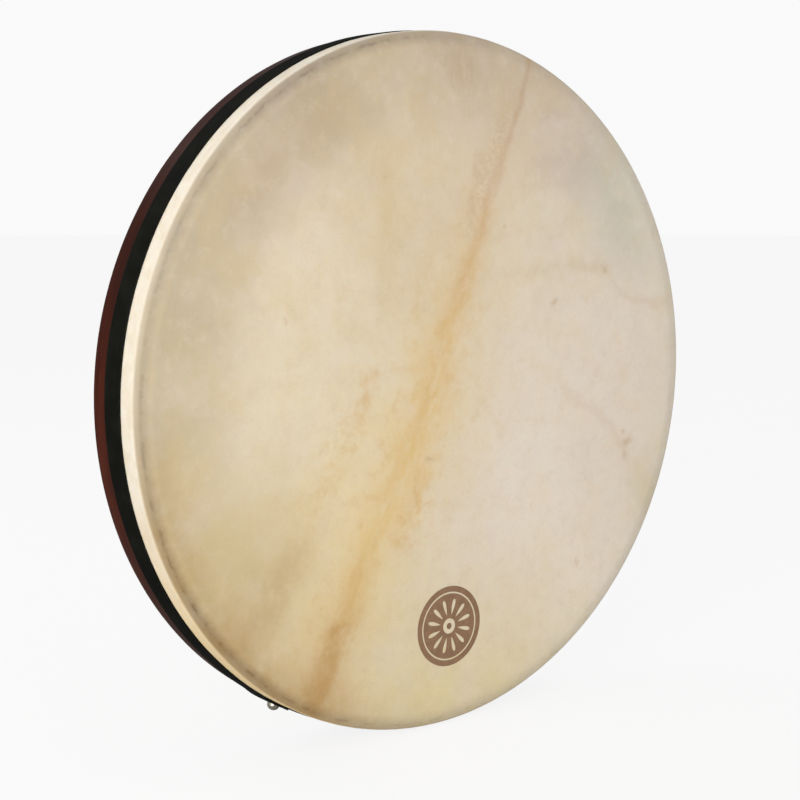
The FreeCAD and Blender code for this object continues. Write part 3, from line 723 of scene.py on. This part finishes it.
g = Graph("black_edge_tape")
P = g.coords()
x, y, z = g.sep(P)
leather = g.voronoi(g.vec("ADD", P, g.vec("SCALE", g.noise(P, 2.0, 2.0, 0.5, color=True), scale=0.8)), 1.15, "SMOOTH_F1")
cell = g.voronoi(P, 1.15, "DISTANCE_TO_EDGE")
weave = g.noise(P, 0.7, 3.0, 0.6)
big = g.noise(P, 26.0, 5.0, 0.6)
tape = g.mix(g.step(big, 0.36, 0.68), srgb(20, 21, 17), srgb(28, 29, 24))
tape = g.mix(g.mul(g.step(cell, 0.12, 0.0), 0.5), tape, srgb(11, 11, 10))
dust = g.mul(g.step(g.noise(P, 5.0, 5.0, 0.7), 0.60, 0.80), 0.10)
tape = g.mix(dust, tape, srgb(70, 68, 62))
edge_a = g.math("ABSOLUTE", g.sub(y, (HALF - (BAND_A0 + BAND_A1) / 2)))
rub = g.mul(g.step(edge_a, BW / 2 - 1.3, BW / 2 - 0.2), g.step(g.noise(P, 6.0, 5.0, 0.7), 0.45, 0.62))
tape = g.mix(g.mul(rub, 0.20), tape, srgb(66, 62, 55))
hgt = g.add(g.mul(leather, -0.6), g.add(g.mul(g.step(cell, 0.0, 0.16), 0.5), g.mul(weave, 0.3)))
nrm = g.bump(hgt, 0.5, 0.00018)
rgh = g.add(0.60, g.mul(g.sub(g.noise(P, 10.0, 4.0, 0.6), 0.5), 0.2))
tape_mat = g.finish(g.principled(Base_Color=tape, Roughness=rgh, Normal=nrm, Specular_IOR_Level=0.02))
dress(band, tape_mat, "shell_body")
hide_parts("trim_band")

# ============================================================ tuning ring ==
soft, rnd = 1.2, 3.0
r0, r1 = R_LUG - 4.0, R_LUG + 4.0
prof = arc(r1 - soft, RING_A0 + soft, soft, -90, 0, 4)
prof += span(prof[-1], (r1, RING_A1 - rnd), 3)
prof += arc(r1 - rnd, RING_A1 - rnd, rnd, 0, 90, 6)[1:]
prof += arc(r0 + soft, RING_A1 - soft, soft, 90, 180, 4)
prof += span(prof[-1], (r0, RING_A0 + soft), 4)
prof += arc(r0 + soft, RING_A0 + soft, soft, 180, 270, 4)[1:]
prof += span(prof[-1], (r1 - soft, RING_A0), 2)[:-1]
ring = lathe("alloy_ring", prof, 512)


def metal(name, base, rough, streak="ring", tint=None, wear=0.15, specks=0.1, bumps=0.2, brushed=0.12):
    """Plated or drawn metal: fine directional marks, small scratches, dulling and
    a little grime in the hollows."""
    g = Graph(name)
    P = g.coords()
    x, y, z = g.sep(P)
    r = g.vec("LENGTH", g.comb(x, 0.0, z))
    if streak == "ring":
        lines = g.noise(g.comb(g.mul(x, 0.05), g.mul(y, 4.0), g.mul(z, 0.05)), 1.2, 4.0, 0.65, w=g.mul(r, 3.0))
    else:
        lines = g.noise(g.vec("MULTIPLY", P, (5.0, 0.6, 5.0)), 1.5, 4.0, 0.65)
    cloud = g.noise(P, 6.0, 5.0, 0.62)
    pit = g.noise(P, 0.8, 3.0, 0.6)
    dark = tuple(c * 0.72 for c in base)
    c = g.mix(g.mul(g.step(cloud, 0.40, 0.70), 0.55), base, tint or tuple(v * 0.88 for v in base))
    c = g.mix(g.mul(g.step(lines, 0.46, 0.70), brushed * 3), c, dark)
    c = g.mix(g.mul(g.step(pit, 0.66, 0.76), specks * 4), c, tuple(v * 0.35 for v in base))
    ro = g.add(rough, g.mul(g.sub(cloud, 0.5), 0.20))
    ro = g.add(ro, g.mul(g.sub(lines, 0.5), brushed * 1.6))
    ro = g.add(ro, g.mul(g.step(g.noise(P, 2.6, 4.0, 0.7), 0.56, 0.72), wear))
    h = g.add(g.mul(lines, brushed * 4), g.add(g.mul(pit, bumps), g.mul(cloud, 0.2)))
    n = g.bump(h, 0.35, 0.00008)
    return g.finish(g.principled(Base_Color=c, Metallic=1.0, Roughness=ro, Normal=n))


alloy_mat = metal("drawn_alloy", (0.66, 0.66, 0.65), 0.34, "ring", brushed=0.16)
nickel_mat = metal("aged_brass_nickel", (0.78, 0.75, 0.62), 0.34, "bolt", brushed=0.05, wear=0.14, tint=(0.66, 0.67, 0.55))
bracket_mat = metal("satin_nickel_casting", (0.60, 0.58, 0.54), 0.30, "bolt", brushed=0.04, wear=0.18, bumps=0.7, specks=0.14)
bolt_mat = metal("plated_bolt_steel", (0.63, 0.63, 0.62), 0.22, "bolt", brushed=0.08, wear=0.16)
screw_mat = metal("zinc_screw_steel", (0.66, 0.63, 0.54), 0.30, "bolt", brushed=0.06, wear=0.2, tint=(0.60, 0.57, 0.42))
pad_mat = metal("turned_steel", (0.56, 0.56, 0.56), 0.28, "bolt", brushed=0.1, wear=0.15)
dress(ring, alloy_mat, "ring_body")
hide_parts("tuning_ring")

# ========================================================== tuning bolts ==
def bolt_mesh():
    """M6 x 1 bolt at ring angle 0: square key head, flange, rolled thread and a
    turned point. Its axis is parallel to the drum's, at radius R_LUG."""
    pts = []   # (radius, a, threaded)
    def ring_row(q, a, th=False):
        pts.append((q, a, th))
    ring_row(0.0, 11.9)
    for q, a in ((4.2, 11.9), (4.45, 12.25), (4.6, 12.6), (4.6, 13.35), (4.45, 13.62), (4.2, 13.8), (3.15, 13.82), (2.68, 14.1)):
        ring_row(q, a)
    a = 14.5
    while a < 48.6:
        ring_row(2.72, a, True)
        a += 0.125
    for q, a in ((2.6, 48.8), (2.35, 49.15), (2.0, 49.3), (1.98, 50.05), (1.7, 50.4), (1.2, 50.6), (0.0, 50.65)):
        ring_row(q, min(a, 50.58))
    segs = 28
    verts, faces, rows = [], [], []
    for i, (q, a, th) in enumerate(pts):
        if q == 0.0:
            rows.append([len(verts)] * segs)
            verts.append((R_LUG * MM, Y(a), 0.0))
            continue
        row = []
        for k in range(segs):
            t = TAU * k / segs
            rr = q
            if th:
                ph = (a - k / segs) % 1.0
                # 60 degree flanks with narrow flats at the crest and the root
                tri = 1.0 - abs(ph * 2.0 - 1.0)
                tri = max(0.0, min(1.0, (tri - 0.12) / 0.76))
                fade = min(1.0, (a - 14.4) / 1.4, (48.7 - a) / 1.2)
                rr = 2.46 + 0.53 * tri * max(0.0, fade) + 0.22 * (1.0 - max(0.0, min(1.0, fade)))
            row.append(len(verts))
            verts.append(((R_LUG + rr * math.cos(t)) * MM, Y(a), rr * math.sin(t) * MM))
        rows.append(row)
    for a_, b_ in zip(rows, rows[1:]):
        for k in range(segs):
            k2 = (k + 1) % segs
            f = [a_[k], a_[k2], b_[k2], b_[k]]
            f = [v for j, v in enumerate(f) if v not in f[:j]]
            if len(f) > 2:
                faces.append(f)
    me = bpy.data.meshes.new("bolt_body")
    me.from_pydata(verts, [], faces)
    bm = bmesh.new()
    bm.from_mesh(me)
    # the square, turned down at its free end
    cube = bmesh.ops.create_cube(bm, size=1.0)["verts"]
    for v in cube:
        v.co = Vector((R_LUG * MM + v.co.x * 5.5 * MM, Y(8.6 + v.co.y * -7.2), v.co.z * 5.5 * MM))
    cube_faces = {f for v in cube for f in v.link_faces}
    edges = list({e for f in cube_faces for e in f.edges})
    bmesh.ops.bevel(bm, geom=edges + cube, offset=0.55 * MM, segments=3, profile=0.6, affect="EDGES")
    bmesh.ops.recalc_face_normals(bm, faces=bm.faces)
    bm.to_mesh(me)
    bm.free()
    me.shade_smooth()
    return me


base_bolt = bolt_mesh()
for k in range(LUGS):
    me = base_bolt.copy()
    me.name = "key_bolt_%d" % (k + 1)
    me.transform(Matrix.Rotation(-TAU * k / LUGS, 4, "Y"))
    ob = bpy.data.objects.new("key_bolt_%d" % (k + 1), me)
    bpy.context.scene.collection.objects.link(ob)
    dress(ob, bolt_mat, "bolt_%d" % (k + 1))
    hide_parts("tuning_bolt_%d" % (k + 1))

# ======================================================= CAD nodes that stay ==
for name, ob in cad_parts.items():
    mat = None
    if name.startswith("tuning_bracket"):
        mat = bracket_mat
    elif name == "bracket_screws":
        mat = screw_mat
    elif name == "thrust_pads":
        mat = pad_mat
    elif name.startswith("shell_bolt"):
        mat = nickel_mat
    if mat:
        ob.data.materials.clear()
        ob.data.materials.append(mat)

# ================================================================= badge ==
# A printed disc with a generic sun, in brown ink; the skin shows through it.
cu = bpy.data.curves.new("badge", "CURVE")
cu.dimensions = "2D"
cu.fill_mode = "BOTH"


def loop(points):
    s = cu.splines.new("POLY")
    s.points.add(len(points) - 1)
    for p, (u, v) in zip(s.points, points):
        p.co = (u * MM, v * MM, 0.0, 1.0)
    s.use_cyclic_u = True


def circle(rad, n, cx=0.0, cz=0.0):
    return [(cx + rad * math.cos(TAU * i / n), cz + rad * math.sin(TAU * i / n)) for i in range(n)]


loop(circle(33.4, 128))
loop(circle(28.6, 128))
loop(circle(27.2, 128))
RAYS = 12
for i in range(RAYS):
    c, s = math.cos(TAU * (i + 0.5) / RAYS), math.sin(TAU * (i + 0.5) / RAYS)
    drop = []
    for j in range(24):
        u = TAU * j / 24
        lx = 16.2 + 6.6 * math.cos(u)
        ly = 2.35 * math.sin(u) * (0.62 + 0.38 * math.cos(u))
        drop.append((lx * c - ly * s, lx * s + ly * c))
    loop(drop)
loop(circle(6.4, 48))
loop(circle(2.6, 32))
cu_ob = bpy.data.objects.new("badge_curve", cu)
bpy.context.scene.collection.objects.link(cu_ob)
dg = bpy.context.evaluated_depsgraph_get()
me = bpy.data.meshes.new_from_object(cu_ob.evaluated_get(dg), depsgraph=dg)
bpy.data.objects.remove(cu_ob)
bm = bmesh.new()
bm.from_mesh(me)
bmesh.ops.remove_doubles(bm, verts=bm.verts, dist=1e-6)
geo = bmesh.ops.extrude_face_region(bm, geom=list(bm.faces))
for v in [e for e in geo["geom"] if isinstance(e, bmesh.types.BMVert)]:
    v.co.z += 0.03 * MM
for v in bm.verts:
    u, w, h = v.co
    v.co = Vector((6.2 * MM + u, head_lo.y - 0.16 * MM - h, -198.0 * MM + w))
bmesh.ops.recalc_face_normals(bm, faces=bm.faces)
bm.to_mesh(me)
bm.free()
me.name = "badge_print"
badge = bpy.data.objects.new("badge_print", me)
bpy.context.scene.collection.objects.link(badge)
g = Graph("brown_ink")
P = g.coords()
ink = g.mix(g.step(g.noise(P, 5.0, 5.0, 0.65), 0.36, 0.66), srgb(140, 108, 82), srgb(151, 118, 91))
ink = g.mix(g.mul(g.step(g.noise(P, 0.9, 3.0, 0.7), 0.60, 0.74), 0.30), ink, srgb(182, 152, 120))
nrm = g.bump(g.noise(P, 2.2, 5.0, 0.62), 0.35, 0.00012)
ink_mat = g.finish(g.principled(Base_Color=ink, Roughness=g.add(0.55, g.mul(g.noise(P, 3.0, 3.0, 0.6), 0.12)), Normal=nrm, Specular_IOR_Level=0.3))
dress(badge, ink_mat, "ring_body")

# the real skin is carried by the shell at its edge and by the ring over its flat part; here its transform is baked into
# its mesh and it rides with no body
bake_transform(skin)

# ================================================================= stage ==
floor_z = min(cad_lo.z, -R_BAND * MM) - 0.0006
bpy.ops.mesh.primitive_circle_add(vertices=96, radius=14.0, fill_type="NGON", location=(0, 0, floor_z))
floor = bpy.context.object
floor.name = "studio_floor"
g = Graph("pale_floor")
P = g.coords()
pale = g.mix(g.noise(P, 400.0, 2.0, 0.5), (0.80, 0.80, 0.80), (0.83, 0.83, 0.825))
rays = g.node("ShaderNodeLightPath")
pale = g.mix(rays.outputs["Is Glossy Ray"], pale, (0.30, 0.30, 0.30))
diff = g.principled(Base_Color=pale, Roughness=0.9, Specular_IOR_Level=0.1)
em = g.node("ShaderNodeEmission")
em.inputs[0].default_value = (1.0, 1.0, 1.0, 1.0)
em.inputs[1].default_value = 1.0
seen_by_camera = rays.outputs["Is Camera Ray"]
ms = g.node("ShaderNodeMixShader")
g.put(ms.inputs[0], g.mul(seen_by_camera, 0.86))
g.put(ms.inputs[1], diff)
g.put(ms.inputs[2], em.outputs[0])
floor.data.materials.append(g.finish(ms.outputs[0]))

world = bpy.data.worlds.new("studio")
bpy.context.scene.world = world
world.use_nodes = True
wt = world.node_tree
wt.nodes.clear()
wo = wt.nodes.new("ShaderNodeOutputWorld")
lp = wt.nodes.new("ShaderNodeLightPath")
soft = wt.nodes.new("ShaderNodeBackground")
soft.inputs[0].default_value = (1.0, 1.0, 1.0, 1.0)
soft.inputs[1].default_value = 0.60
seen = wt.nodes.new("ShaderNodeBackground")
seen.inputs[0].default_value = (1.0, 1.0, 1.0, 1.0)
seen.inputs[1].default_value = 0.95
gl = wt.nodes.new("ShaderNodeBackground")
gl.inputs[0].default_value = (1.0, 1.0, 1.0, 1.0)
gl.inputs[1].default_value = 0.30
m1 = wt.nodes.new("ShaderNodeMixShader")
m2 = wt.nodes.new("ShaderNodeMixShader")
wt.links.new(lp.outputs["Is Glossy Ray"], m1.inputs[0])
wt.links.new(soft.outputs[0], m1.inputs[1])
wt.links.new(gl.outputs[0], m1.inputs[2])
wt.links.new(lp.outputs["Is Camera Ray"], m2.inputs[0])
wt.links.new(m1.outputs[0], m2.inputs[1])
wt.links.new(seen.outputs[0], m2.inputs[2])
wt.links.new(m2.outputs[0], wo.inputs[0])


def area(name, where, at, size, power, color=(1, 1, 1)):
    l = bpy.data.lights.new(name, "AREA")
    l.shape = "RECTANGLE"
    l.size, l.size_y = size
    l.energy = power
    l.color = color
    o = bpy.data.objects.new(name, l)
    bpy.context.scene.collection.objects.link(o)
    o.location = where
    o.rotation_euler = (Vector(at) - Vector(where)).to_track_quat("-Z", "Y").to_euler()
    return o


area("key_left", (-2.35, -1.62, 0.55), (0, 0, 0.0), (1.8, 1.8), 51.5, (1.0, 0.99, 0.97))
area("top_back", (-0.9, 1.6, 1.9), (0, 0, 0.1), (1.6, 1.0), 8.0)

bpy.context.scene.view_settings.view_transform = "Standard"

# ================================================================ camera ==
AZ, EL, DIST = math.radians(-39.252), math.radians(6.908), 1.32145
cam_data = bpy.data.cameras.new("camera")
cam_data.sensor_width = 36.0
cam_data.lens = 36.0 * 1616.8 / 800.0
cam = bpy.data.objects.new("camera", cam_data)
bpy.context.scene.collection.objects.link(cam)
cam.location = Vector((math.sin(AZ) * math.cos(EL), -math.cos(AZ) * math.cos(EL), math.sin(EL))) * DIST
aim = Vector((-0.01989, 0.0, -0.01214))
cam.rotation_euler = (aim - cam.location).to_track_quat("-Z", "Y").to_euler()
cam_data.clip_start, cam_data.clip_end = 0.05, 60.0
bpy.context.scene.camera = cam
